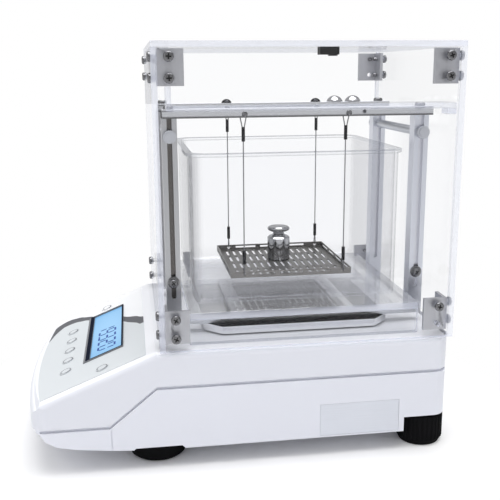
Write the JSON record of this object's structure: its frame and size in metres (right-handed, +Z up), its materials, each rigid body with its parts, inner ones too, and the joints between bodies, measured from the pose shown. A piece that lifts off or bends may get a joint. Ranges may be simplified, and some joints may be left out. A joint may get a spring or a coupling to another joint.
{
  "type": "metal purity analyzer",
  "caption": "Precision balance with a clear draft shield, a water tank on a bridge and a wire-hung perforated basket for density readings of precious metal.",
  "frame": {"origin": "bottom centre of the whole object, on the table", "axes": "+Z up, the control panel faces -Y, +X is the user's right"},
  "size_m": [0.2452, 0.394, 0.373],
  "materials": {
    "housing": "satin moulded, light",
    "membrane": "printed membrane",
    "window_frame": "gloss",
    "lcd": "lit blue behind glass",
    "label": "bare plate",
    "circuit_board": "lacquered",
    "aluminium": "fine satin",
    "socket": "matt",
    "screws": "machined",
    "trim": "gloss",
    "pan": "polished",
    "wire": "bright wire",
    "basket": "satin",
    "weight": "polished",
    "acrylic": "clear, polished",
    "block": "matt",
    "keys": "satin",
    "feet": "matt moulded"
  },
  "bodies": {
    "base": {"lower_shell": "housing", "upper_shell": "housing", "panel_overlay": "membrane", "display_frame": "window_frame", "display": "lcd", "label_plate": "label", "front_board": "circuit_board", "main_board": "circuit_board", "cell_base": "aluminium", "load_cell": "aluminium", "power_socket": "socket", "shell_screws": "screws", "tank": "acrylic", "bridge_plate": "acrylic", "bridge_leg_right": "acrylic", "bridge_leg_left": "acrylic", "shield_front": "acrylic", "shield_rear": "acrylic", "shield_right": "acrylic", "shield_left": "acrylic", "corner_brackets": "aluminium", "bracket_screws": "screws", "ledge": "acrylic", "ledge_block": "acrylic"},
    "weighing_frame": {"pan_spider": "aluminium", "pan": "pan", "carrier": "aluminium", "post_front_right": "aluminium", "post_front_left": "aluminium", "post_rear_right": "aluminium", "post_rear_left": "aluminium", "beam_right": "aluminium", "beam_left": "aluminium", "tie_rod_front": "aluminium", "tie_rod_rear": "aluminium", "rod_nuts": "screws", "beam_screws": "screws", "post_screws": "screws", "hanger_pins": "screws", "trim_discs": "trim"},
    "front_wires": {"wire_front_right": "wire", "wire_front_left": "wire"},
    "rear_wires": {"wire_rear_right": "wire", "wire_rear_left": "wire"},
    "basket": {"basket": "basket"},
    "weight": {"knob_weight": "weight"},
    "lid": {"lid": "acrylic", "lid_block": "block"},
    "key_1": {"key_1": "keys"},
    "key_2": {"key_2": "keys"},
    "key_3": {"key_3": "keys"},
    "key_4": {"key_4": "keys"},
    "key_5": {"key_5": "keys"},
    "key_left": {"key_left": "keys"},
    "key_right": {"key_right": "keys"},
    "foot_front_right": {"foot_front_right": "feet"},
    "foot_front_left": {"foot_front_left": "feet"},
    "foot_rear_right": {"foot_rear_right": "feet"},
    "foot_rear_left": {"foot_rear_left": "feet"}
  },
  "joints": [
    {"name": "weighing_travel", "type": "slide", "parent": "base", "child": "weighing_frame", "axis": [0, 0, -1], "range_m": [0, 0.0005], "stiffness_N_per_m": 30000, "springref_m": -0.0006},
    {"name": "front_wire_swing", "type": "hinge", "parent": "weighing_frame", "child": "front_wires", "pos_m": [0, 0.0099, 0.311], "axis": [1, 0, 0], "range_deg": [-6, 6]},
    {"name": "rear_wire_swing", "type": "hinge", "parent": "weighing_frame", "child": "rear_wires", "pos_m": [0, 0.1059, 0.311], "axis": [1, 0, 0], "range_deg": [-6, 6]},
    {"name": "basket_level", "type": "hinge", "parent": "front_wires", "child": "basket", "pos_m": [0, 0.0099, 0.1608], "axis": [1, 0, 0], "range_deg": [-6, 6]},
    {"name": "weight_lift", "type": "slide", "parent": "basket", "child": "weight", "axis": [0, 0, 1], "range_m": [0, 0.04]},
    {"name": "lid_lift", "type": "slide", "parent": "base", "child": "lid", "axis": [0, 0, 1], "range_m": [0, 0.05]},
    {"name": "key_1_press", "type": "slide", "parent": "base", "child": "key_1", "axis": [0, 0.373, -0.9278], "range_m": [0, 0.0005], "stiffness_N_per_m": 300, "springref_m": -0.001},
    {"name": "key_2_press", "type": "slide", "parent": "base", "child": "key_2", "axis": [0, 0.373, -0.9278], "range_m": [0, 0.0005], "stiffness_N_per_m": 300, "springref_m": -0.001},
    {"name": "key_3_press", "type": "slide", "parent": "base", "child": "key_3", "axis": [0, 0.373, -0.9278], "range_m": [0, 0.0005], "stiffness_N_per_m": 300, "springref_m": -0.001},
    {"name": "key_4_press", "type": "slide", "parent": "base", "child": "key_4", "axis": [0, 0.373, -0.9278], "range_m": [0, 0.0005], "stiffness_N_per_m": 300, "springref_m": -0.001},
    {"name": "key_5_press", "type": "slide", "parent": "base", "child": "key_5", "axis": [0, 0.373, -0.9278], "range_m": [0, 0.0005], "stiffness_N_per_m": 300, "springref_m": -0.001},
    {"name": "key_left_press", "type": "slide", "parent": "base", "child": "key_left", "axis": [0, 0.373, -0.9278], "range_m": [0, 0.0005], "stiffness_N_per_m": 300, "springref_m": -0.001},
    {"name": "key_right_press", "type": "slide", "parent": "base", "child": "key_right", "axis": [0, 0.373, -0.9278], "range_m": [0, 0.0005], "stiffness_N_per_m": 300, "springref_m": -0.001},
    {"name": "foot_front_right_turn", "type": "hinge", "parent": "base", "child": "foot_front_right", "pos_m": [0.082, -0.0771, 0.01], "axis": [0, 0, 1], "continuous": true},
    {"name": "foot_front_left_turn", "type": "hinge", "parent": "base", "child": "foot_front_left", "pos_m": [-0.082, -0.0771, 0.01], "axis": [0, 0, 1], "continuous": true},
    {"name": "foot_rear_right_turn", "type": "hinge", "parent": "base", "child": "foot_rear_right", "pos_m": [0.097, 0.1744, 0.01], "axis": [0, 0, 1], "continuous": true},
    {"name": "foot_rear_left_turn", "type": "hinge", "parent": "base", "child": "foot_rear_left", "pos_m": [-0.097, 0.1744, 0.01], "axis": [0, 0, 1], "continuous": true}
  ],
  "couplings": [
    {"joint": "rear_wire_swing", "follows": "front_wire_swing", "ratio": 1},
    {"joint": "basket_level", "follows": "front_wire_swing", "ratio": -1}
  ]
}
